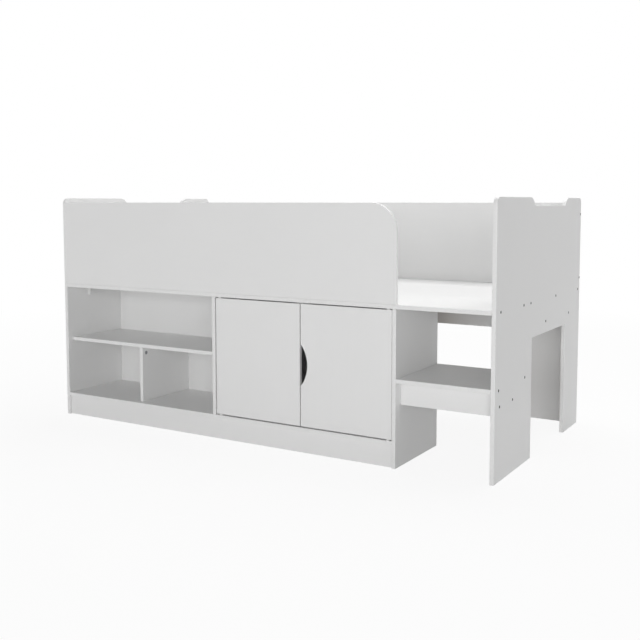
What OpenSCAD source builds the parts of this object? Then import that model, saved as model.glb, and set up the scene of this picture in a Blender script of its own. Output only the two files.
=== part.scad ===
// Cabin bed in white laminated board: a raised bed with a bookcase, a two-door
// cupboard and a step under its front half, and an arch through each end.
// Millimetres. The bed stands on z = 0, its long side lies along x and its front
// looks towards -y. Inside the modules x runs from the left end's outer face and
// y from the front faces, and in_place() moves the whole to the middle of the bed.

/* [Overall] */
// Length over the two end panels
bed_l = 1960; // [1900:5:2100]
// Depth from the front faces to the rear faces
bed_d = 980; // [960:5:1060]
// Height of the end panels at their shoulders
end_h = 940; // [930:5:1050]
// Thickness of every laminated board
board_t = 15; // [15:1:18]

/* [End panels] */
// Radius of the outer top corners
shoulder_r = 25; // [15:1:40]
// Drop of the hollow in the top edge
dip_drop = 29; // [20:1:40]
// Radius of the two curves that lead down into the hollow
dip_r = 52; // [40:1:70]
// Start of the hollow, from the front
dip_y = 380; // [340:5:420]
// Width of the hollow
dip_w = 378; // [300:5:400]
// Start of the arch, from the front
arch_y = 370; // [362:2:400]
// Width of the arch
arch_w = 412; // [300:4:420]
// Wall left between the arch and the rails under the deck
arch_gap = 6; // [4:1:60]

/* [Deck and guards] */
// Height of the deck that carries the mattress
deck_top = 573; // [560:1:600]
// Depth of the front deck board, which covers the storage unit
deck_front_d = 320; // [300:5:340]
// Depth of the middle deck board
deck_middle_d = 436; // [400:2:460]
// Gap between deck boards
deck_joint = 1; // [0.5:0.5:3]
// Drop from the end panels' shoulders to the top of the guards
guard_drop = 19; // [10:1:60]
// Radius of the front guard's free corner
guard_r = 100; // [60:5:140]
// Height of the rails under the deck
rail_h = 113; // [90:1:115]
// Middle of the middle rail, from the front
rail_middle_y = 528; // [420:2:600]
// Middle of the rear rail, from the rear
rail_rear_in = 152; // [130:2:180]
// Width of each rear leg board
rear_leg_w = 300; // [200:5:330]

/* [Storage unit] */
// Clear width of the bookcase
book_w = 790; // [700:5:820]
// Clear width of the cupboard
cupboard_w = 767; // [700:1:780]
// Height of the bottom board's top face
base_top = 96; // [85:1:110]
// Height of the bookcase shelf's top face
shelf_top = 337; // [300:1:380]
// Setback of the bookcase shelf and its divider
shelf_set = 27; // [5:1:40]
// Setback of the plinth
plinth_set = 10; // [5:1:30]
// Thickness of the back panels
back_t = 3; // [3:0.5:6]
// Depth of the panel between the cupboard and the step
side_panel_d = 350; // [345:1:360]

/* [Doors] */
// Gap over, under and between the doors, and at the left door's hinged edge
door_gap = 4; // [3:0.1:5]
// Gap at the right door's hinged edge
door_end_gap = 2; // [1.9:0.1:4]
// Setback of the doors
door_set = 2; // [0:0.5:5]
// Shift of the doors' meeting line from the cupboard's middle, towards the step
door_split = 6; // [0:1:12]
// Height of the finger scoop
scoop_h = 154; // [100:2:180]
// Depth of the finger scoop
scoop_d = 28; // [18:1:35]
// Height of the scoop's middle above the floor
scoop_z = 328; // [250:2:400]
// Distance from a door's outer edge to its pivot
pivot_set = 16; // [14:1:20]

/* [Step] */
// Height of the tread's top face
tread_top = 316; // [280:1:340]
// Setback of the apron under the tread
apron_set = 37; // [10:1:60]
// Middle of the rail behind the apron, from the front
step_rail_y = 172; // [120:2:240]
// Height of the apron and of the rail behind it
apron_h = 81; // [72:1:100]

/* [Fasteners] */
// Shank diameter of the board screws
screw_d = 7; // [6:0.5:7]
// Length of the board screws
screw_l = 50; // [40:1:55]
// Head diameter of the board screws
head_d = 10; // [9:0.5:11]
// Diameter of the cam locks
cam_d = 15; // [12:1:15]
// Distance from a board's end to its cam's middle
cam_set = 24; // [20:1:34]
// Diameter of the wooden dowels
dowel_d = 8; // [6:1:8]
// Length of the wooden dowels
dowel_l = 30; // [25:1:35]
// Length of each leg of an angle bracket
bracket_l = 43; // [30:1:50]
// Width of an angle bracket
bracket_w = 12; // [10:1:20]
// Diameter of the door pivot pins
pin_d = 6; // [5:0.5:7]

/* [Hidden] */
$fn = 72;

// Colours
white_board = [0.93, 0.93, 0.92];
dark_metal = [0.16, 0.16, 0.17];
bright_metal = [0.74, 0.75, 0.77];
white_plastic = [0.95, 0.95, 0.94];
beech = [0.80, 0.66, 0.46];

// Clearances
snug = 0.05;          // round a screw, cam, dowel or pin in its hole
hole_end = 1;         // past the end of a screw or dowel
door_float = 0.3;     // between a door and the bush flange that it turns on
screw_play = 0.3;     // round a bolt or screw in a loose hole
cut = 1;              // a cut runs this far past the face it opens

// Derived heights
deck_z = deck_top - board_t;
guard_top = end_h - guard_drop;
guard_h = guard_top - deck_top;
base_z = base_top - board_t;
shelf_z = shelf_top - board_t;
tread_z = tread_top - board_t;
rail_z = deck_z - rail_h;
arch_h = rail_z - arch_gap;
apron_z = tread_z - apron_h;
door_z = base_top + door_gap;
door_top = deck_z - door_gap;

// Derived places along the bed
in_l = board_t;
in_r = bed_l - board_t;
mid_x = in_l + book_w;
cup_l = mid_x + board_t;
cup_r = cup_l + cupboard_w;
well_l = cup_r + board_t;
divider_x = in_l + (book_w - board_t) / 2;

// Derived depths
deck_middle_y = deck_front_d + deck_joint;
deck_rear_y = deck_middle_y + deck_middle_d + deck_joint;
rear_y = bed_d - board_t;
rail_rear_y = bed_d - rail_rear_in;
half_t = board_t / 2;

// Doors
doors_w = cupboard_w - 2 * door_gap - door_end_gap;
door_l_w = doors_w / 2 + door_split;
door_r_w = doors_w / 2 - door_split;
door_l_x = cup_l + door_gap;
door_r_x = door_l_x + door_l_w + door_gap;
door_back_y = door_set + board_t;
pivot_l_x = door_l_x + pivot_set;
pivot_r_x = door_r_x + door_r_w - pivot_set;
pivot_y = door_set + half_t;
scoop_r = (scoop_h * scoop_h / 4 + scoop_d * scoop_d) / (2 * scoop_d);

// Fastener details
head_h = 3.5;
socket_d = 5.2;       // across the corners of the hexagon
socket_h = 2.5;
tip_d = 5;
tip_l = 8;
cam_floor = 2.5;      // board left under a cam
cam_h = board_t - cam_floor;
cam_bolt_d = 6;
cam_head_d = 7;
cam_head_l = 3;
cam_thread_d = 5;
cam_thread_l = 11;
cam_bore_d = 8;
cam_slot_d = cam_head_d + 2 * screw_play;
cam_cross_w = 1.6;
cam_cross_l = 9;
cam_cross_h = 2;
dowel_in_face = 10;   // part of a dowel in the board whose face it enters
bracket_t = 2;
wood_screw_d = 3.5;
wood_screw_l = 12;
wood_screw_head_d = 7;
wood_screw_head_h = 2;
bracket_hole_d = 4;
nail_d = 1.6;
nail_l = 16;
nail_head_d = 4;
nail_head_h = 0.8;

// Pivots
pin_in_door = 14;
pin_in_bush = 8.5;    // past the bush's flange
bush_d = 10;
bush_l = 10;
flange_d = 14;
flange_h = door_gap - door_float;

// Magnetic catch and its strikes
catch_w = 56;
catch_screw_in = 5;
catch_d = 16;
catch_h = 14;
magnet_w = 18;
magnet_h = 8;
magnet_out = 1;
strike_w = 22;
strike_h = 12;
strike_t = 1.5;
strike_gap = 0.4;
strike_screw_d = 3;
strike_screw_head_d = 5.5;
strike_screw_head_h = 0.8;
strike_screw_l = 9;
catch_y = door_back_y + strike_t + strike_gap + magnet_out;
door_meet_x = door_r_x - door_gap / 2;
magnet_x = 15;        // from the meeting line to the middle of each magnet

// Directions in which a screw, dowel or cam bolt runs into its board
to_right = [0, 90, 0];
to_left = [0, -90, 0];
up = [0, 0, 0];
// Cam bolts: into a board to the right, to the left or below, with the cam's
// open side underneath, underneath, on the right or on the left
cam_to_right = [0, 90, 0];
cam_to_left = [0, 90, 180];
cam_down_r = [180, 0, 0];
cam_down_l = [180, 0, 180];

// Insets of screws from the edges of their boards
deck_in = 45;
deck_middle_front_in = 30;
deck_middle_rear_in = 107;
deck_rear_in = 27;
guard_low_in = 39;
guard_high_in = 48;
guard_end_in = 135;
rear_guard_end_in = 90;
rail_low_in = 36;
apron_low_in = 33;
tread_front_in = 34;
tread_rear_in = 53;
unit_in = 60;
guard_screw_n = 4;

// Screw places: x, y, z of the head's face, and direction
deck_mid_z = deck_z + half_t;
deck_screw_ys = [
  deck_in, deck_front_d - deck_in, deck_middle_y + deck_middle_front_in,
  deck_middle_y + deck_middle_d - deck_middle_rear_in, bed_d - deck_rear_in
];
guard_screw_zs = [deck_top + guard_low_in, guard_top - guard_high_in];
rail_screw_z = rail_z + rail_low_in;
apron_screw_z = apron_z + apron_low_in;
tread_screw_ys = [tread_front_in, side_panel_d - tread_rear_in];
unit_screw_ys = [unit_in, deck_front_d - unit_in];
shared_end_screws = [
  for (y = deck_screw_ys) [y, deck_mid_z],
  for (z = guard_screw_zs) [rear_y + half_t, z],
  for (y = [rail_middle_y, rail_rear_y]) [y, rail_screw_z]
];
left_end_screws = [
  for (p = shared_end_screws) p,
  for (z = guard_screw_zs) [half_t, z],
  for (y = [deck_in, deck_front_d - deck_in]) [y, base_z + half_t]
];
step_screw_places = [
  for (y = tread_screw_ys) [y, tread_z + half_t],
  [apron_set + half_t, apron_screw_z],
  [step_rail_y, apron_screw_z]
];
right_end_screws = [
  for (p = shared_end_screws) p,
  for (p = step_screw_places) p
];
LEFT_SCREWS = [for (p = left_end_screws) [[0, p[0], p[1]], to_right]];
RIGHT_SCREWS = [for (p = right_end_screws) [[bed_l, p[0], p[1]], to_left]];
STEP_SCREWS = [for (p = step_screw_places) [[cup_r, p[0], p[1]], to_right]];
front_guard_screw_xs = [
  for (i = [0:guard_screw_n - 1])
    in_l + guard_end_in + i * (well_l - in_l - 2 * guard_end_in) / (guard_screw_n - 1)
];
rear_guard_screw_xs = [
  in_l + rear_leg_w + rear_guard_end_in, bed_l / 2,
  in_r - rear_leg_w - rear_guard_end_in
];
GUARD_SCREWS = [
  for (x = front_guard_screw_xs) [[x, half_t, deck_z], up],
  for (x = rear_guard_screw_xs) [[x, rear_y + half_t, deck_z], up]
];
BASE_SCREWS = [
  for (x = [mid_x + half_t, divider_x + half_t], y = unit_screw_ys)
    [[x, y, base_z], up]
];

// Cam places: a point on the joint at the bolt's axis, and direction
divider_front_in = 50;
divider_rear_in = 70;
divider_cam_ys = [divider_front_in, deck_front_d - divider_rear_in];
CAMS = [
  for (y = unit_screw_ys) [[in_l, y, shelf_z + half_t], cam_to_right],
  for (y = unit_screw_ys) [[mid_x, y, shelf_z + half_t], cam_to_left],
  for (y = divider_cam_ys) [[divider_x + half_t, y, shelf_z], cam_down_r],
  for (y = unit_screw_ys) [[mid_x + half_t, y, deck_z], cam_down_r],
  for (y = unit_screw_ys) [[cup_r + half_t, y, deck_z], cam_down_l],
  for (y = unit_screw_ys) [[cup_r, y, base_z + half_t], cam_to_left]
];

// Dowel places: a point on the joint, and direction
unit_dowel_y = deck_front_d / 2;
rail_dowel_in = 37;
apron_dowel_in = 21;
rail_dowel_z = deck_z - rail_dowel_in;
apron_dowel_z = tread_z - apron_dowel_in;
guard_dowel_z = (deck_top + guard_top) / 2;
end_dowels = [
  [rail_middle_y, rail_dowel_z], [rail_rear_y, rail_dowel_z],
  [rear_y + half_t, guard_dowel_z]
];
step_dowels = [
  [apron_set + half_t, apron_dowel_z], [step_rail_y, apron_dowel_z],
  [side_panel_d / 2, tread_z + half_t]
];
DOWELS = [
  for (p = end_dowels) [[in_l, p[0], p[1]], to_right],
  for (p = end_dowels) [[in_r, p[0], p[1]], to_left],
  for (p = step_dowels) [[well_l, p[0], p[1]], to_right],
  for (p = step_dowels) [[in_r, p[0], p[1]], to_left],
  [[in_l, half_t, guard_dowel_z], to_right],
  [[in_l, unit_dowel_y, base_z + half_t], to_right],
  [[in_l, unit_dowel_y, shelf_z + half_t], to_right],
  [[mid_x, unit_dowel_y, shelf_z + half_t], to_left],
  [[mid_x + half_t, unit_dowel_y, base_top], up],
  [[divider_x + half_t, unit_dowel_y, base_top], up]
];

// Bracket places: the corner it sits in, and rotation. Unrotated, one leg hangs
// on a face that looks to +x and the other runs under a face that looks down.
deck_bracket_in = 195;
middle_bracket_in = 117;
plinth_bracket_in = 185;
mid_bracket_in = 15;
leg_bracket_low = 150;
leg_bracket_drop = 158;
deck_bracket_y = deck_front_d - deck_bracket_in;
middle_bracket_y = deck_middle_y + deck_middle_d - middle_bracket_in;
plinth_bracket_xs = [
  in_l + plinth_bracket_in, mid_x - mid_bracket_in, cup_r - plinth_bracket_in
];
plinth_back_y = plinth_set + board_t;
leg_bracket_zs = [leg_bracket_low, deck_z - leg_bracket_drop];
BRACKETS = [
  [[in_l, deck_bracket_y, deck_z], [0, 0, 0]],
  [[in_l, middle_bracket_y, deck_z], [0, 0, 0]],
  [[in_r, middle_bracket_y, deck_z], [0, 0, 180]],
  [[in_l + rear_leg_w / 2, rear_y, deck_z], [0, 0, -90]],
  [[in_r - rear_leg_w / 2, rear_y, deck_z], [0, 0, -90]],
  for (z = leg_bracket_zs) [[in_l, rear_y, z], [-90, 0, 0]],
  for (z = leg_bracket_zs) [[in_r, rear_y, z], [90, 0, 180]],
  for (x = plinth_bracket_xs) [[x, plinth_back_y, base_z], [0, 0, 90]]
];
bracket_hole_in = 9;
bracket_hole_gap = 17;
bracket_hole_us = [
  bracket_l - bracket_hole_in - bracket_hole_gap, bracket_l - bracket_hole_in
];

// Nail places along the bottom board, the shelf and the middle panel
nail_n = 5;
nail_in = 40;
nail_up = 60;
nail_top_in = 110;
nail_split = 3.5;     // from the joint of the two back panels to a nail
back_joint = 0.5;     // between the two back panels, behind the middle panel
function nail_row(start, w) =
  [for (i = [0:nail_n - 1]) start + nail_in + i * (w - 2 * nail_in) / (nail_n - 1)];
book_nail_xs = nail_row(in_l, book_w);
cup_nail_xs = nail_row(cup_l, cupboard_w);
mid_nail_zs = [
  base_top + nail_up, shelf_z - nail_up, shelf_top + nail_up, deck_z - nail_top_in
];
back_meet_x = mid_x + half_t;
NAILS = [
  for (x = book_nail_xs) [x, base_z + half_t],
  for (x = book_nail_xs) [x, shelf_z + half_t],
  for (x = cup_nail_xs) [x, base_z + half_t],
  for (x = [back_meet_x - nail_split, back_meet_x + nail_split], z = mid_nail_zs)
    [x, z]
];

// ---- Helpers

module in_place() {
  translate([-bed_l / 2, -bed_d / 2, 0]) children();
}

module board(x, y, z, w, d, h) {
  translate([x, y, z]) cube([w, d, h]);
}

module each_at(places) {
  for (p = places) translate(p[0]) rotate(p[1]) children();
}

// Cuts a round corner at the origin of a sheet that lies towards (sx, sy)
module corner_cut(r, sx, sy) {
  scale([sx, sy]) difference() {
    translate([-cut, -cut]) square(r + cut);
    translate([r, r]) circle(r);
  }
}

// Everything that is drilled into a board for its fixings
module drilled(screws = [], cams = false, dowels = false, brackets = false) {
  difference() {
    children();
    each_at(screws) screw_hole();
    if (cams) each_at(CAMS) cam_holes();
    if (dowels) each_at(DOWELS) dowel_hole();
    if (brackets) each_at(BRACKETS) bracket_pilots();
  }
}

// ---- Fasteners, each along its own z

module screw() {
  difference() {
    union() {
      cylinder(d = head_d, h = head_h);
      cylinder(d = screw_d, h = screw_l - tip_l);
      cylinder(d = tip_d, h = screw_l);
    }
    translate([0, 0, -cut]) cylinder(d = socket_d, h = socket_h + cut, $fn = 6);
  }
}

module screw_hole() {
  translate([0, 0, -cut])
    cylinder(d = head_d + 2 * snug, h = head_h + cut);
  cylinder(d = screw_d + 2 * snug, h = screw_l + hole_end);
}

module cam_lock() {
  translate([half_t - cam_h, 0, cam_set]) rotate([0, 90, 0]) difference() {
    cylinder(d = cam_d, h = cam_h);
    translate([0, 0, cam_h - half_t]) rotate([0, 90, 0])
      cylinder(d = cam_slot_d, h = cam_d);
    translate([0, 0, cam_h - half_t]) sphere(d = cam_slot_d);
    for (a = [45, -45]) rotate(a)
      translate([-cam_cross_l / 2, -cam_cross_w / 2, cam_h - cam_cross_h])
        cube([cam_cross_l, cam_cross_w, cam_cross_h + cut]);
  }
}

module cam_bolt() {
  translate([0, 0, -cam_thread_l]) cylinder(d = cam_thread_d, h = cam_thread_l);
  cylinder(d = cam_bolt_d, h = cam_set - hole_end);
  translate([0, 0, cam_set - cam_head_l]) cylinder(d = cam_head_d, h = cam_head_l);
}

module cam_holes() {
  translate([half_t - cam_h - snug, 0, cam_set]) rotate([0, 90, 0])
    cylinder(d = cam_d + 2 * snug, h = cam_h + snug + cut);
  translate([0, 0, -cut]) cylinder(d = cam_bore_d, h = cam_set + cut);
  translate([0, 0, -cam_thread_l - hole_end])
    cylinder(d = cam_thread_d + 2 * snug, h = cam_thread_l + hole_end);
}

module dowel() {
  translate([0, 0, -dowel_in_face]) cylinder(d = dowel_d, h = dowel_l);
}

module dowel_hole() {
  translate([0, 0, -dowel_in_face - hole_end / 2])
    cylinder(d = dowel_d + 2 * snug, h = dowel_l + hole_end);
}

module wood_screw(l) {
  translate([0, 0, -wood_screw_head_h])
    cylinder(d = wood_screw_head_d, h = wood_screw_head_h);
  cylinder(d = wood_screw_d, h = l);
}

// The two screw axes of a bracket's hanging leg, then of its upper leg
module at_bracket_holes(inset) {
  for (u = bracket_hole_us) {
    translate([inset, 0, -u]) rotate(to_left) children();
    translate([u, 0, -inset]) rotate(up) children();
  }
}

module bracket() {
  difference() {
    translate([0, -bracket_w / 2, -bracket_l])
      difference() {
        cube([bracket_l, bracket_w, bracket_l]);
        translate([bracket_t, -cut, -cut])
          cube([bracket_l, bracket_w + 2 * cut, bracket_l + cut - bracket_t]);
      }
    at_bracket_holes(bracket_t + cut)
      cylinder(d = bracket_hole_d, h = bracket_t + 2 * cut);
  }
}

module bracket_pilots() {
  at_bracket_holes(bracket_t)
    cylinder(d = wood_screw_d + 2 * snug, h = wood_screw_l + hole_end);
}

// ---- End panels

// Above one curve of the hollow, which leaves the top edge without a corner
module dip_end(side) {
  run = sqrt(dip_r * dip_r - (dip_r - dip_drop) * (dip_r - dip_drop));
  scale([side, 1]) difference() {
    translate([-cut, -dip_drop]) square([run + cut, dip_drop + cut]);
    translate([run, -dip_r]) circle(dip_r);
  }
}

module end_outline() {
  difference() {
    square([bed_d, end_h]);
    translate([0, end_h]) corner_cut(shoulder_r, 1, -1);
    translate([bed_d, end_h]) corner_cut(shoulder_r, -1, -1);
    translate([dip_y, end_h - dip_drop]) square([dip_w, dip_drop + cut]);
    translate([dip_y, end_h]) dip_end(-1);
    translate([dip_y + dip_w, end_h]) dip_end(1);
    translate([arch_y, -cut]) square([arch_w, arch_h + cut]);
  }
}

module end_panel(x) {
  translate([x, 0, 0]) rotate([90, 0, 90])
    linear_extrude(board_t) end_outline();
}

module end_panel_left() {
  color(white_board) in_place()
    drilled(LEFT_SCREWS, true, true, true) end_panel(0);
}

module end_panel_right() {
  color(white_board) in_place()
    drilled(RIGHT_SCREWS, false, true, true) end_panel(in_r);
}

// ---- Guards

module front_guard() {
  guard_l = well_l - in_l;
  color(white_board) in_place()
    drilled(concat(LEFT_SCREWS, GUARD_SCREWS), false, true)
      translate([in_l, board_t, deck_top]) rotate([90, 0, 0])
        linear_extrude(board_t) difference() {
          square([guard_l, guard_h]);
          translate([guard_l, guard_h]) corner_cut(guard_r, -1, -1);
        }
}

module rear_guard() {
  color(white_board) in_place()
    drilled(concat(LEFT_SCREWS, RIGHT_SCREWS, GUARD_SCREWS), false, true)
      board(in_l, rear_y, deck_top, in_r - in_l, board_t, guard_h);
}

// ---- Deck

module deck_board(y, d) {
  drilled(concat(LEFT_SCREWS, RIGHT_SCREWS, GUARD_SCREWS), true, false, true)
    board(in_l, y, deck_z, in_r - in_l, d, board_t);
}

module deck_front() {
  color(white_board) in_place() difference() {
    deck_board(0, deck_front_d);
    for (x = [pivot_l_x, pivot_r_x]) at_top_pivot(x) bush_hole();
    at_catch_screws() cylinder(d = wood_screw_d + 2 * snug, h = wood_screw_l);
  }
}

module deck_middle() {
  color(white_board) in_place() deck_board(deck_middle_y, deck_middle_d);
}

module deck_rear() {
  color(white_board) in_place() deck_board(deck_rear_y, bed_d - deck_rear_y);
}

module deck_rail(y) {
  drilled(concat(LEFT_SCREWS, RIGHT_SCREWS), false, true)
    board(in_l, y - half_t, rail_z, in_r - in_l, board_t, rail_h);
}

module deck_rail_middle() {
  color(white_board) in_place() deck_rail(rail_middle_y);
}

module deck_rail_rear() {
  color(white_board) in_place() deck_rail(rail_rear_y);
}

module rear_leg(x) {
  drilled(brackets = true) board(x, rear_y, 0, rear_leg_w, board_t, deck_z);
}

module rear_leg_left() {
  color(white_board) in_place() rear_leg(in_l);
}

module rear_leg_right() {
  color(white_board) in_place() rear_leg(in_r - rear_leg_w);
}

// ---- Storage unit

module mid_panel() {
  color(white_board) in_place() nailed() drilled(BASE_SCREWS, true, true)
    board(mid_x, 0, base_top, board_t, deck_front_d, deck_z - base_top);
}

module side_panel() {
  color(white_board) in_place() drilled(STEP_SCREWS, true, true)
    board(cup_r, 0, 0, board_t, side_panel_d, deck_z);
}

module bottom_board() {
  color(white_board) in_place() nailed() difference() {
    drilled(concat(LEFT_SCREWS, BASE_SCREWS), true, true, true)
      board(in_l, 0, base_z, cup_r - in_l, deck_front_d, board_t);
    for (x = [pivot_l_x, pivot_r_x]) at_bottom_pivot(x) bush_hole();
  }
}

module plinth() {
  color(white_board) in_place() drilled(brackets = true)
    board(in_l, plinth_set, 0, cup_r - in_l, board_t, base_z);
}

module bookcase_shelf() {
  color(white_board) in_place() nailed() drilled([], true, true)
    board(in_l, shelf_set, shelf_z, book_w, deck_front_d - shelf_set, board_t);
}

module bookcase_divider() {
  color(white_board) in_place() drilled(BASE_SCREWS, true, true)
    board(divider_x, shelf_set, base_top,
          board_t, deck_front_d - shelf_set, shelf_z - base_top);
}

// Pilot holes for the back panels' nails
module nailed() {
  difference() {
    children();
    at_nails() cylinder(d = nail_d + 2 * snug, h = nail_l + hole_end);
  }
}

// Each nail's axis, from the back panels' rear face forwards
module at_nails() {
  for (p = NAILS)
    translate([p[0], deck_front_d + back_t, p[1]]) rotate([90, 0, 0]) children();
}

module back_panel(x, w) {
  nailed() board(x, deck_front_d, base_z, w, back_t, deck_z - base_z);
}

module bookcase_back() {
  color(white_board) in_place()
    back_panel(in_l, back_meet_x - back_joint / 2 - in_l);
}

module cupboard_back() {
  start = back_meet_x + back_joint / 2;
  color(white_board) in_place() back_panel(start, cup_r - start);
}

module back_nails() {
  color(bright_metal) in_place() at_nails() {
    translate([0, 0, -nail_head_h]) cylinder(d = nail_head_d, h = nail_head_h, $fn = 24);
    cylinder(d = nail_d, h = nail_l, $fn = 24);
  }
}

// ---- Doors

// Pivot axes, from the bush flange's outer face into the board
module at_bottom_pivot(x) {
  translate([x, pivot_y, base_top]) rotate([180, 0, 0]) children();
}

module at_top_pivot(x) {
  translate([x, pivot_y, deck_z]) children();
}

module bush_hole() {
  translate([0, 0, -cut]) cylinder(d = bush_d + 2 * snug, h = bush_l + cut + snug);
}

module bush() {
  difference() {
    union() {
      translate([0, 0, -flange_h]) cylinder(d = flange_d, h = flange_h);
      cylinder(d = bush_d, h = bush_l);
    }
    translate([0, 0, -flange_h - cut])
      cylinder(d = pin_d + 2 * snug, h = flange_h + cut + pin_in_bush + hole_end / 2);
  }
}

module pivot_bushes() {
  color(white_plastic) in_place() for (x = [pivot_l_x, pivot_r_x]) {
    at_bottom_pivot(x) bush();
    at_top_pivot(x) bush();
  }
}

// A pin reaches from inside the door to inside the bush
module pin(clear = 0) {
  translate([0, 0, -door_gap - pin_in_door - (clear > 0 ? hole_end / 2 : 0)])
    cylinder(d = pin_d + 2 * clear,
             h = pin_in_door + door_gap + pin_in_bush + (clear > 0 ? hole_end : 0));
}

module pins(x, clear = 0) {
  at_bottom_pivot(x) pin(clear);
  at_top_pivot(x) pin(clear);
}

module pivot_pins_left() {
  color(bright_metal) in_place() pins(pivot_l_x);
}

module pivot_pins_right() {
  color(bright_metal) in_place() pins(pivot_r_x);
}

module door(x, w, pivot_x, side) {
  difference() {
    board(x, door_set, door_z, w, board_t, door_top - door_z);
    pins(pivot_x, snug);
    at_strike(side) translate([0, 0, -strike_screw_l - hole_end])
      cylinder(d = strike_screw_d + 2 * snug, h = strike_screw_l + hole_end);
  }
}

module door_left() {
  color(white_board) in_place() door(door_l_x, door_l_w, pivot_l_x, -1);
}

module door_right() {
  color(white_board) in_place() difference() {
    door(door_r_x, door_r_w, pivot_r_x, 1);
    translate([door_r_x + scoop_d - scoop_r, door_set - cut, scoop_z]) rotate([-90, 0, 0])
      cylinder(r = scoop_r, h = board_t + 2 * cut, $fn = 144);
  }
}

// The middle of each strike on its door's back face, with z pointing rearwards
module at_strike(side) {
  translate([door_meet_x + side * magnet_x, door_back_y, deck_z - catch_h / 2 - door_gap / 2])
    rotate([-90, 0, 0]) children();
}

module strike_plate(side) {
  at_strike(side) difference() {
    translate([-strike_w / 2, -strike_h / 2, 0]) cube([strike_w, strike_h, strike_t]);
    translate([0, 0, -cut])
      cylinder(d = strike_screw_d + 2 * snug, h = strike_t + 2 * cut);
    translate([0, 0, strike_t - strike_screw_head_h])
      cylinder(d = strike_screw_head_d + 2 * snug, h = strike_screw_head_h + cut);
  }
}

// Its head is flush with the plate's face
module strike_screw(side) {
  at_strike(side) {
    translate([0, 0, strike_t - strike_screw_head_h])
      cylinder(d = strike_screw_head_d, h = strike_screw_head_h);
    translate([0, 0, -strike_screw_l])
      cylinder(d = strike_screw_d, h = strike_screw_l + strike_t);
  }
}

module strike_plate_left() {
  color(bright_metal) in_place() strike_plate(-1);
}

module strike_plate_right() {
  color(bright_metal) in_place() strike_plate(1);
}

module strike_screw_left() {
  color(bright_metal) in_place() strike_screw(-1);
}

module strike_screw_right() {
  color(bright_metal) in_place() strike_screw(1);
}

module at_catch_screws() {
  for (x = [catch_screw_in - catch_w / 2, 0, catch_w / 2 - catch_screw_in])
    translate([door_meet_x + x, catch_y + catch_d / 2, deck_z]) children();
}

module magnetic_catch() {
  color(white_plastic) in_place() difference() {
    union() {
      board(door_meet_x - catch_w / 2, catch_y, deck_z - catch_h,
            catch_w, catch_d, catch_h);
      for (side = [-1, 1])
        board(door_meet_x + side * magnet_x - magnet_w / 2, catch_y - magnet_out,
              deck_z - catch_h / 2 - magnet_h / 2 - door_gap / 2,
              magnet_w, magnet_out, magnet_h);
    }
    at_catch_screws() translate([0, 0, -catch_h - cut]) {
      cylinder(d = wood_screw_d + 2 * screw_play, h = catch_h + 2 * cut);
      cylinder(d = wood_screw_head_d + 2 * screw_play, h = catch_h / 2 + cut);
    }
  }
}

module catch_screws() {
  color(bright_metal) in_place() at_catch_screws()
    translate([0, 0, -catch_h / 2]) wood_screw(catch_h / 2 + wood_screw_l - hole_end);
}

// ---- Step

module step_board(y, z, d, h) {
  drilled(concat(STEP_SCREWS, RIGHT_SCREWS), false, true)
    board(well_l, y, z, in_r - well_l, d, h);
}

module step_tread() {
  color(white_board) in_place() step_board(0, tread_z, side_panel_d, board_t);
}

module step_apron() {
  color(white_board) in_place() step_board(apron_set, apron_z, board_t, apron_h);
}

module step_rail() {
  color(white_board) in_place()
    step_board(step_rail_y - half_t, apron_z, board_t, apron_h);
}

// ---- Groups of fasteners

module end_screws_left() {
  color(dark_metal) in_place() each_at(LEFT_SCREWS) screw();
}

module end_screws_right() {
  color(dark_metal) in_place() each_at(RIGHT_SCREWS) screw();
}

module step_screws() {
  color(dark_metal) in_place() each_at(STEP_SCREWS) screw();
}

module guard_screws() {
  color(dark_metal) in_place() each_at(GUARD_SCREWS) screw();
}

module base_screws() {
  color(dark_metal) in_place() each_at(BASE_SCREWS) screw();
}

module cam_locks() {
  color(bright_metal) in_place() each_at(CAMS) cam_lock();
}

module cam_bolts() {
  color(bright_metal) in_place() each_at(CAMS) cam_bolt();
}

module dowels() {
  color(beech) in_place() each_at(DOWELS) dowel();
}

module angle_brackets() {
  color(white_plastic) in_place() each_at(BRACKETS) bracket();
}

module bracket_screws() {
  color(bright_metal) in_place() each_at(BRACKETS)
    at_bracket_holes(bracket_t) wood_screw(wood_screw_l);
}

end_panel_left();
end_panel_right();
front_guard();
rear_guard();
deck_front();
deck_middle();
deck_rear();
deck_rail_middle();
deck_rail_rear();
rear_leg_left();
rear_leg_right();
mid_panel();
side_panel();
bottom_board();
plinth();
bookcase_shelf();
bookcase_divider();
bookcase_back();
cupboard_back();
door_left();
door_right();
step_tread();
step_apron();
step_rail();
pivot_bushes();
pivot_pins_left();
pivot_pins_right();
magnetic_catch();
strike_plate_left();
strike_plate_right();
strike_screw_left();
strike_screw_right();
end_screws_left();
end_screws_right();
step_screws();
guard_screws();
base_screws();
cam_locks();
cam_bolts();
dowels();
angle_brackets();
bracket_screws();
catch_screws();
back_nails();
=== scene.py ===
"""The looks of a cabin bed in white laminated board, round its fixed frame. Metres."""

import math

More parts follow.
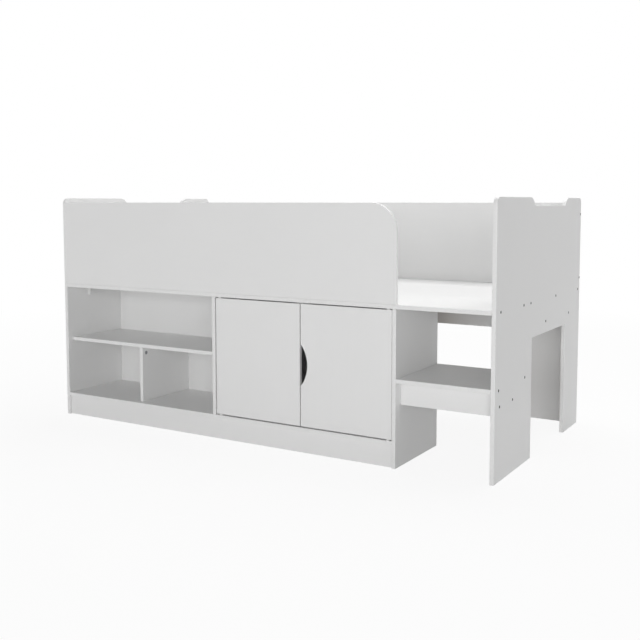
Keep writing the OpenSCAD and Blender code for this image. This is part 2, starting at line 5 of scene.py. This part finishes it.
import bmesh
import bpy
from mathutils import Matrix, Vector


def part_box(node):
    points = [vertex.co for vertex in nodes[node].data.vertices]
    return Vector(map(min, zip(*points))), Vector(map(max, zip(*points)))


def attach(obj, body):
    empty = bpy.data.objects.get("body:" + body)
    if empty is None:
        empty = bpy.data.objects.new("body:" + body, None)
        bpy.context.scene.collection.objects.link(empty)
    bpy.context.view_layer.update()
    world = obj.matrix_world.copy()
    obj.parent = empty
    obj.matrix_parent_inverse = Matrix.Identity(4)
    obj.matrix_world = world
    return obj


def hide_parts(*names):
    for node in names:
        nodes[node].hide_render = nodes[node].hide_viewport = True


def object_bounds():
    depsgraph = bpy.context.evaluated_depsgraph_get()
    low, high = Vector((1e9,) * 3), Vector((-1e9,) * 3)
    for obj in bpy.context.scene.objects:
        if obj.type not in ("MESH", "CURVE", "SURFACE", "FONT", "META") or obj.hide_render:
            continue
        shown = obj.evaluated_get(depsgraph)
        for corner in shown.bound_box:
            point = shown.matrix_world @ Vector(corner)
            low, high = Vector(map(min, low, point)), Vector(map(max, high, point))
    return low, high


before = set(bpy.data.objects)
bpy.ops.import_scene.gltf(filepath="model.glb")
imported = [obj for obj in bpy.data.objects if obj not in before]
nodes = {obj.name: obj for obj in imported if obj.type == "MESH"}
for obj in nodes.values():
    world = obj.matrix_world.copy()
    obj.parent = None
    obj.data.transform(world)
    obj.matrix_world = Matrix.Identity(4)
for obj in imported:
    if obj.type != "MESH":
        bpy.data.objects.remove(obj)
cad_low, cad_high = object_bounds()

# ---- Camera, from a fit to the photograph's edges

PHOTO_SIZE = 640                       # pixels, both ways
FOCAL_PX = 887.9
CENTRE_PX = (331.8, 274.0)             # where the lens axis meets the photograph
CAMERA_FROM_CORNER = Vector((2.9534, -2.7005, 0.9221))   # from the left front foot
CAMERA_YAW = 0.5367                    # to the left of +Y
CAMERA_PITCH = 0.0806                  # downwards
SENSOR_MM = 36.0


def make_camera():
    data = bpy.data.cameras.new("camera")
    data.sensor_width = SENSOR_MM
    data.lens = SENSOR_MM * FOCAL_PX / PHOTO_SIZE
    data.shift_x = (PHOTO_SIZE / 2 - CENTRE_PX[0]) / PHOTO_SIZE
    data.shift_y = (CENTRE_PX[1] - PHOTO_SIZE / 2) / PHOTO_SIZE
    camera = bpy.data.objects.new("camera", data)
    bpy.context.scene.collection.objects.link(camera)
    camera.location = cad_low + CAMERA_FROM_CORNER
    level = math.cos(CAMERA_PITCH)
    forward = Vector((
        -math.sin(CAMERA_YAW) * level,
        math.cos(CAMERA_YAW) * level,
        -math.sin(CAMERA_PITCH),
    ))
    camera.rotation_mode = "QUATERNION"
    camera.rotation_quaternion = forward.to_track_quat("-Z", "Y")
    bpy.context.scene.camera = camera


# ---- Materials

LENGTH, DEPTH, UP = range(3)           # the axes of the frame
SMOOTHER, ROUGHER = 0.06, 0.08         # how far a metal strays from its roughness


class Graph:
    """A material's nodes, with one Principled shader in place."""

    def __init__(self, name, colour, roughness, metallic=0.0):
        self.material = bpy.data.materials.new(name)
        self.material.use_nodes = True
        self.tree = self.material.node_tree
        self.shader = self.tree.nodes["Principled BSDF"]
        self.shader.inputs["Base Color"].default_value = (*colour, 1.0)
        self.shader.inputs["Roughness"].default_value = roughness
        self.shader.inputs["Metallic"].default_value = metallic
        self.material.diffuse_color = (*colour, 1.0)

    def add(self, kind, **settings):
        node = self.tree.nodes.new(kind)
        for key, value in settings.items():
            setattr(node, key, value)
        return node

    def join(self, source, target):
        self.tree.links.new(source, target)

    def place(self, scale):
        """Position in the row frame, times a scale along each axis."""
        coords = self.add("ShaderNodeTexCoord")
        mapping = self.add("ShaderNodeMapping")
        mapping.inputs["Scale"].default_value = scale
        self.join(coords.outputs["Object"], mapping.inputs["Vector"])
        return mapping.outputs["Vector"]

    def noise(self, scale, detail=3.0, rough=0.5):
        """Noise from 0 to 1, with a scale in cells per metre along each axis."""
        texture = self.add("ShaderNodeTexNoise")
        texture.inputs["Scale"].default_value = 1.0
        texture.inputs["Detail"].default_value = detail
        texture.inputs["Roughness"].default_value = rough
        self.join(self.place(scale), texture.inputs["Vector"])
        return texture.outputs["Fac"]

    def spread(self, value, low, high, from_low=0.25, from_high=0.75):
        """Maps the middle of a noise's values to a range."""
        ramp = self.add("ShaderNodeMapRange")
        ramp.inputs["From Min"].default_value = from_low
        ramp.inputs["From Max"].default_value = from_high
        ramp.inputs["To Min"].default_value = low
        ramp.inputs["To Max"].default_value = high
        self.join(value, ramp.inputs["Value"])
        return ramp.outputs["Result"]

    def times(self, first, second):
        product = self.add("ShaderNodeMath", operation="MULTIPLY")
        self.join(first, product.inputs[0])
        self.join(second, product.inputs[1])
        return product.outputs["Value"]

    def tint(self, dark, light, factor):
        mix = self.add("ShaderNodeMix", data_type="RGBA")
        mix.inputs["A"].default_value = (*dark, 1.0)
        mix.inputs["B"].default_value = (*light, 1.0)
        self.join(factor, mix.inputs["Factor"])
        self.join(mix.outputs["Result"], self.shader.inputs["Base Color"])

    def roughen(self, value):
        self.join(value, self.shader.inputs["Roughness"])

    def bump(self, height, depth):
        bump = self.add("ShaderNodeBump")
        bump.inputs["Distance"].default_value = depth
        bump.inputs["Strength"].default_value = 1.0
        self.join(height, bump.inputs["Height"])
        self.join(bump.outputs["Normal"], self.shader.inputs["Normal"])


def even(scale):
    return (scale, scale, scale)


def grain(axis, along, across):
    return tuple(along if i == axis else across for i in range(3))


def laminate(name, axis):
    """White foil over chipboard: a faint cloudiness, and fine pores along the grain."""
    g = Graph(name, colour=(0.845, 0.845, 0.842), roughness=0.42)
    clouds = g.noise(even(2.3), detail=2.0)
    streaks = g.noise(grain(axis, along=6.0, across=210.0), detail=4.0, rough=0.6)
    pores = g.noise(grain(axis, along=90.0, across=1300.0), detail=2.0)
    tone = g.times(g.spread(clouds, 0.82, 1.0), g.spread(streaks, 0.80, 1.0))
    g.tint(dark=(0.815, 0.815, 0.812), light=(0.865, 0.865, 0.862), factor=tone)
    g.roughen(g.spread(streaks, 0.38, 0.50))
    g.bump(pores, depth=0.00006)
    return g.material


def edge_band():
    """Smooth white edging, a little lighter than the foil."""
    g = Graph("edge_band", colour=(0.855, 0.855, 0.852), roughness=0.36)
    ripple = g.noise(even(160.0), detail=2.0)
    tone = g.spread(ripple, 0.0, 1.0)
    g.tint(dark=(0.84, 0.84, 0.837), light=(0.87, 0.87, 0.867), factor=tone)
    g.roughen(g.spread(ripple, 0.32, 0.42))
    g.bump(ripple, depth=0.00003)
    return g.material


def hardboard():
    """The unpainted rear face of the back panels: pressed brown fibres."""
    g = Graph("hardboard", colour=(0.33, 0.23, 0.14), roughness=0.8)
    fibres = g.noise(even(420.0), detail=6.0, rough=0.7)
    patches = g.noise(even(14.0))
    tone = g.times(g.spread(fibres, 0.3, 1.0), g.spread(patches, 0.7, 1.0))
    g.tint(dark=(0.20, 0.13, 0.075), light=(0.40, 0.285, 0.18), factor=tone)
    g.bump(fibres, depth=0.0002)
    return g.material


def metal(name, colour, roughness, scratch=0.1, metallic=1.0):
    """Metal or its coating. Scratch is the share of light that the darkest grain loses."""
    g = Graph(name, colour, roughness, metallic)
    speckle = g.noise(even(900.0), detail=4.0, rough=0.65)
    dark = tuple(c * (1.0 - scratch) for c in colour)
    g.tint(dark, colour, g.spread(speckle, 0.0, 1.0))
    g.roughen(g.spread(speckle, roughness - SMOOTHER, roughness + ROUGHER))
    g.bump(speckle, depth=0.00003)
    return g.material


def moulded_plastic():
    g = Graph("moulded_plastic", colour=(0.80, 0.80, 0.785), roughness=0.38)
    skin = g.noise(even(700.0), detail=2.0)
    tone = g.spread(skin, 0.0, 1.0)
    g.tint(dark=(0.775, 0.775, 0.76), light=(0.81, 0.81, 0.795), factor=tone)
    g.roughen(g.spread(skin, 0.33, 0.45))
    g.bump(skin, depth=0.00004)
    return g.material


def beech():
    g = Graph("beech", colour=(0.55, 0.38, 0.20), roughness=0.6)
    rings = g.noise(grain(DEPTH, along=60.0, across=900.0), detail=4.0)
    tone = g.spread(rings, 0.0, 1.0)
    g.tint(dark=(0.44, 0.28, 0.14), light=(0.62, 0.44, 0.25), factor=tone)
    g.bump(rings, depth=0.0001)
    return g.material


LAMINATE = [laminate("laminate_grain_" + "xyz"[axis], axis) for axis in range(3)]
EDGE_BAND = edge_band()
HARDBOARD = hardboard()
BLACK_STEEL = metal("black_steel", (0.010, 0.010, 0.011), 0.50, scratch=0.3, metallic=0.3)
ZINC_PLATE = metal("zinc_plate", (0.62, 0.63, 0.65), 0.30)
CAST_ZINC = metal("cast_zinc", (0.45, 0.46, 0.48), 0.42, scratch=0.2)
POWDER_COAT = metal("powder_coat", (0.80, 0.80, 0.795), 0.40, scratch=0.03, metallic=0.0)
PLASTIC = moulded_plastic()
BEECH = beech()

# ---- Boards

EDGE_RADIUS = 0.0016
SHEET_EDGE_RADIUS = 0.0004
BRACKET_EDGE_RADIUS = 0.0005
BRACKET_T = 0.002
WING = 0.016                           # from a bracket's corner to its wing's edge
WING_T = 0.0012
WING_INSET = 0.0003                    # into the legs, and back from their edges
EDGE_STEPS = 4
HOLE_SPAN = 0.030                      # a rim shorter than this belongs to a hole
SHARP_ANGLE = math.radians(30.0)
FLAT_ANGLE = math.radians(0.5)
WELD = 1e-6
SQUARE_ON = 0.999                      # least part of a normal along its axis, on a large face
FRONT_FACING = -0.9                    # most part of a normal along y, on a front face


def sharp_edges(bm):
    return [
        e for e in bm.edges
        if len(e.link_faces) == 2 and e.calc_face_angle() > SHARP_ANGLE
    ]


def connected(items, neighbours):
    """The items in groups that hang together, in the same order each run."""
    left = set(items)
    for start in items:
        if start not in left:
            continue
        left.remove(start)
        group, front = [], [start]
        while front:
            item = front.pop()
            group.append(item)
            near = [other for other in neighbours(item) if other in left]
            left.difference_update(near)
            front.extend(near)
        yield group


def edges_at_ends(edge):
    return [other for vert in edge.verts for other in vert.link_edges]


def verts_along_edges(vert):
    return [edge.other_vert(vert) for edge in vert.link_edges]


def span(edges):
    points = [v.co for e in edges for v in e.verts]
    return max(max(p[i] for p in points) - min(p[i] for p in points) for i in range(3))


def eased_copy(name, node, radius):
    """A copy of a CAD node whose outer edges are rounded and whose holes stay crisp."""
    bm = bmesh.new()
    bm.from_mesh(nodes[node].data)
    bmesh.ops.remove_doubles(bm, verts=bm.verts, dist=WELD)
    bmesh.ops.dissolve_limit(
        bm, angle_limit=FLAT_ANGLE, verts=bm.verts, edges=bm.edges
    )
    outer = []
    for group in connected(sharp_edges(bm), edges_at_ends):
        if span(group) > HOLE_SPAN:
            outer.extend(group)
        else:
            for edge in group:
                edge.smooth = False
    bmesh.ops.bevel(
        bm, geom=outer, offset=radius, offset_type="OFFSET", segments=EDGE_STEPS,
        profile=0.5, affect="EDGES", clamp_overlap=False, material=-1,
    )
    for face in bm.faces:
        face.smooth = True
    mesh = bpy.data.meshes.new(name)
    bm.to_mesh(mesh)
    bm.free()
    piece = bpy.data.objects.new(name, mesh)
    bpy.context.scene.collection.objects.link(piece)
    shade = piece.modifiers.new("flat_faces", "WEIGHTED_NORMAL")
    shade.keep_sharp = True
    shade.weight = 100
    return piece


def axes_by_size(node):
    """The three axes, from the node's thinnest to its longest."""
    low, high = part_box(node)
    size = high - low
    return sorted(range(3), key=lambda i: size[i])


def paint_board(piece, axis, face_material, edge_material):
    """The two large faces take one material and all else the other."""
    mesh = piece.data
    mesh.materials.append(face_material)
    mesh.materials.append(edge_material)
    for face in mesh.polygons:
        face.material_index = 0 if abs(face.normal[axis]) > SQUARE_ON else 1


def dress(piece, node, body):
    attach(piece, body)
    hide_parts(node)


def make_board(node, body="bed", run=None):
    """A board whose grain runs along the given axis, or else along its longest side."""
    piece = eased_copy(node + "_laminated", node, EDGE_RADIUS)
    thin, _, long = axes_by_size(node)
    paint_board(piece, thin, LAMINATE[long if run is None else run], EDGE_BAND)
    dress(piece, node, body)


def make_back(node):
    """A thin back panel, painted on its front face only."""
    piece = eased_copy(node + "_sheet", node, SHEET_EDGE_RADIUS)
    piece.data.materials.append(LAMINATE[LENGTH])
    piece.data.materials.append(HARDBOARD)
    for face in piece.data.polygons:
        face.material_index = 0 if face.normal.y < FRONT_FACING else 1
    dress(piece, node, "bed")


BED_BOARDS = [
    "front_guard", "rear_guard", "deck_front", "deck_middle", "deck_rear",
    "deck_rail_middle", "deck_rail_rear", "bottom_board", "plinth",
    "bookcase_shelf", "step_tread", "step_apron", "step_rail",
]
UPRIGHTS = [
    "end_panel_left", "end_panel_right", "rear_leg_left", "rear_leg_right",
    "mid_panel", "side_panel", "bookcase_divider",
]


def make_boards():
    for node in BED_BOARDS:
        make_board(node)
    for node in UPRIGHTS:
        make_board(node, run=UP)
    for side in ("left", "right"):
        make_board("door_" + side, body="door_" + side, run=UP)
    make_back("bookcase_back")
    make_back("cupboard_back")


# ---- Fittings

FITTINGS = {
    "end_screws_left": BLACK_STEEL,
    "end_screws_right": BLACK_STEEL,
    "step_screws": BLACK_STEEL,
    "guard_screws": BLACK_STEEL,
    "base_screws": BLACK_STEEL,
    "cam_locks": CAST_ZINC,
    "cam_bolts": ZINC_PLATE,
    "pivot_pins_left": ZINC_PLATE,
    "pivot_pins_right": ZINC_PLATE,
    "strike_plate_left": ZINC_PLATE,
    "strike_plate_right": ZINC_PLATE,
    "strike_screw_left": ZINC_PLATE,
    "strike_screw_right": ZINC_PLATE,
    "bracket_screws": POWDER_COAT,
    "catch_screws": ZINC_PLATE,
    "back_nails": ZINC_PLATE,
    "pivot_bushes": PLASTIC,
    "magnetic_catch": PLASTIC,
    "dowels": BEECH,
}


def paint_fittings():
    for node, material in FITTINGS.items():
        mesh = nodes[node].data
        mesh.materials.clear()
        mesh.materials.append(material)


def wing_corners(low, high, middle):
    """Corner points of an L-shaped wing on the low side of a bracket, and its side's axis.

    The bracket is narrowest along one axis. Along the other two, its material lies
    towards the inner corner of its box.
    """
    size = high - low
    side = min(range(3), key=lambda i: size[i])
    across = [i for i in range(3) if i != side]
    start, step = {}, {}
    for i in across:
        near_low = middle[i] < (low[i] + high[i]) / 2
        start[i] = low[i] if near_low else high[i]
        step[i] = 1.0 if near_low else -1.0
    root, tip = BRACKET_T - WING_INSET, size[across[0]] - WING_INSET
    outline = [
        (root, root), (tip, root), (tip, WING), (WING, WING), (WING, tip), (root, tip)
    ]
    points = []
    for u, v in outline:
        point = Vector((0.0, 0.0, 0.0))
        point[side] = low[side] + WING_INSET
        point[across[0]] = start[across[0]] + step[across[0]] * u
        point[across[1]] = start[across[1]] + step[across[1]] * v
        points.append(point)
    return points, side


def add_wings(mesh):
    bm = bmesh.new()
    bm.from_mesh(mesh)
    boxes = []
    for part in connected(list(bm.verts), verts_along_edges):
        low = Vector([min(v.co[i] for v in part) for i in range(3)])
        high = Vector([max(v.co[i] for v in part) for i in range(3)])
        middle = sum((v.co for v in part), Vector()) / len(part)
        boxes.append((low, high, middle))
    for low, high, middle in boxes:
        points, side = wing_corners(low, high, middle)
        shift = Vector((0.0, 0.0, 0.0))
        shift[side] = WING_T
        outer = [bm.verts.new(p) for p in points]
        inner = [bm.verts.new(p + shift) for p in points]
        bm.faces.new(outer)
        bm.faces.new(inner)
        for i in range(len(points)):
            bm.faces.new((outer[i - 1], outer[i], inner[i], inner[i - 1]))
    bmesh.ops.recalc_face_normals(bm, faces=bm.faces)
    bm.to_mesh(mesh)
    bm.free()


def make_brackets():
    """Coated angle brackets, each stiffened by a wing along one side."""
    piece = eased_copy("angle_brackets_coated", "angle_brackets", BRACKET_EDGE_RADIUS)
    add_wings(piece.data)
    piece.data.materials.append(POWDER_COAT)
    dress(piece, "angle_brackets", "bed")


# ---- Floor, background and light

FLOOR_HALF = 30.0
FLOOR_COLOUR = (0.92, 0.92, 0.92)
FLOOR_SPECKLE = (0.905, 0.905, 0.905)
GLOW_NEAR = 0.90                       # share of plain white in the floor that is seen
GLOW_FAR = 1.0
FADE = (1.2, 4.5)                      # distances from the bed's middle between the two
AMBIENT = 0.28                         # strength of the world's light on the bed


def eyes(tree):
    """1 for what the camera sees, straight or in a mirror or glass, and 0 for the light."""
    rays = tree.nodes.new("ShaderNodeLightPath")
    seen = rays.outputs["Is Camera Ray"]
    for name in ("Is Glossy Ray", "Is Transmission Ray"):
        either = tree.nodes.new("ShaderNodeMath")
        either.operation = "MAXIMUM"
        tree.links.new(seen, either.inputs[0])
        tree.links.new(rays.outputs[name], either.inputs[1])
        seen = either.outputs["Value"]
    return seen


def make_floor():
    """A plain pale floor that takes the bed's shadow, and fades to white with distance."""
    g = Graph("floor", FLOOR_COLOUR, roughness=0.9)
    mottle = g.noise(even(3.0), detail=2.0)
    g.tint(FLOOR_SPECKLE, FLOOR_COLOUR, g.spread(mottle, 0.0, 1.0))
    reach = g.add("ShaderNodeVectorMath", operation="LENGTH")
    g.join(g.place(even(1.0)), reach.inputs[0])
    glow = g.spread(reach.outputs["Value"], GLOW_NEAR, GLOW_FAR, *FADE)
    white = g.add("ShaderNodeEmission")
    mix = g.add("ShaderNodeMixShader")
    g.join(g.times(eyes(g.tree), glow), mix.inputs["Fac"])
    g.join(g.shader.outputs["BSDF"], mix.inputs[1])
    g.join(white.outputs["Emission"], mix.inputs[2])
    g.join(mix.outputs["Shader"], g.tree.nodes["Material Output"].inputs["Surface"])
    mesh = bpy.data.meshes.new("floor")
    corners = [(-1, -1), (1, -1), (1, 1), (-1, 1)]
    mesh.from_pydata(
        [(x * FLOOR_HALF, y * FLOOR_HALF, cad_low.z) for x, y in corners],
        [], [(0, 1, 2, 3)],
    )
    mesh.materials.append(g.material)
    floor = bpy.data.objects.new("floor", mesh)
    bpy.context.scene.collection.objects.link(floor)


def make_world():
    """Soft light from everywhere. The camera and reflections see plain white."""
    world = bpy.data.worlds.new("studio")
    bpy.context.scene.world = world
    world.use_nodes = True
    tree = world.node_tree
    tree.nodes.clear()
    strength = tree.nodes.new("ShaderNodeMapRange")
    strength.inputs["To Min"].default_value = AMBIENT
    strength.inputs["To Max"].default_value = 1.0
    tree.links.new(eyes(tree), strength.inputs["Value"])
    background = tree.nodes.new("ShaderNodeBackground")
    background.inputs["Color"].default_value = (1.0, 1.0, 1.0, 1.0)
    tree.links.new(strength.outputs["Result"], background.inputs["Strength"])
    output = tree.nodes.new("ShaderNodeOutputWorld")
    tree.links.new(background.outputs["Background"], output.inputs["Surface"])


# Each lamp's place, aim, size and watts
SOFTBOXES = {
    "front": ((0.0, -10.0, 1.6), (0.0, 0.0, 0.45), (6.0, 3.0), 165.0),
    "front_right": ((5.6, -8.4, 1.6), (0.0, 0.0, 0.4), (4.5, 3.0), 195.0),
    "left": ((-5.5, 0.2, 1.6), (-0.9, 0.0, 0.45), (3.0, 2.0), 45.0),
    "rear": ((-0.6, 5.5, 3.2), (0.0, 0.3, 0.45), (4.0, 2.0), 22.0),
    "overhead": ((0.35, 1.0, 3.4), (0.3, 0.1, 0.57), (4.0, 2.0), 79.0),
}


def make_softbox(name, place, aim, size, watts):
    data = bpy.data.lights.new(name, "AREA")
    data.shape = "RECTANGLE"
    data.size, data.size_y = size
    data.energy = watts
    lamp = bpy.data.objects.new(name, data)
    bpy.context.scene.collection.objects.link(lamp)
    lamp.location = place
    lamp.rotation_mode = "QUATERNION"
    lamp.rotation_quaternion = (Vector(aim) - Vector(place)).to_track_quat("-Z", "Y")
    lamp.visible_camera = False


def make_lights():
    for name, setting in SOFTBOXES.items():
        make_softbox(name, *setting)


make_camera()
make_boards()
paint_fittings()
make_brackets()
make_floor()
make_world()
make_lights()

scene = bpy.context.scene
scene.view_settings.view_transform = "Standard"

bpy.context.view_layer.update()
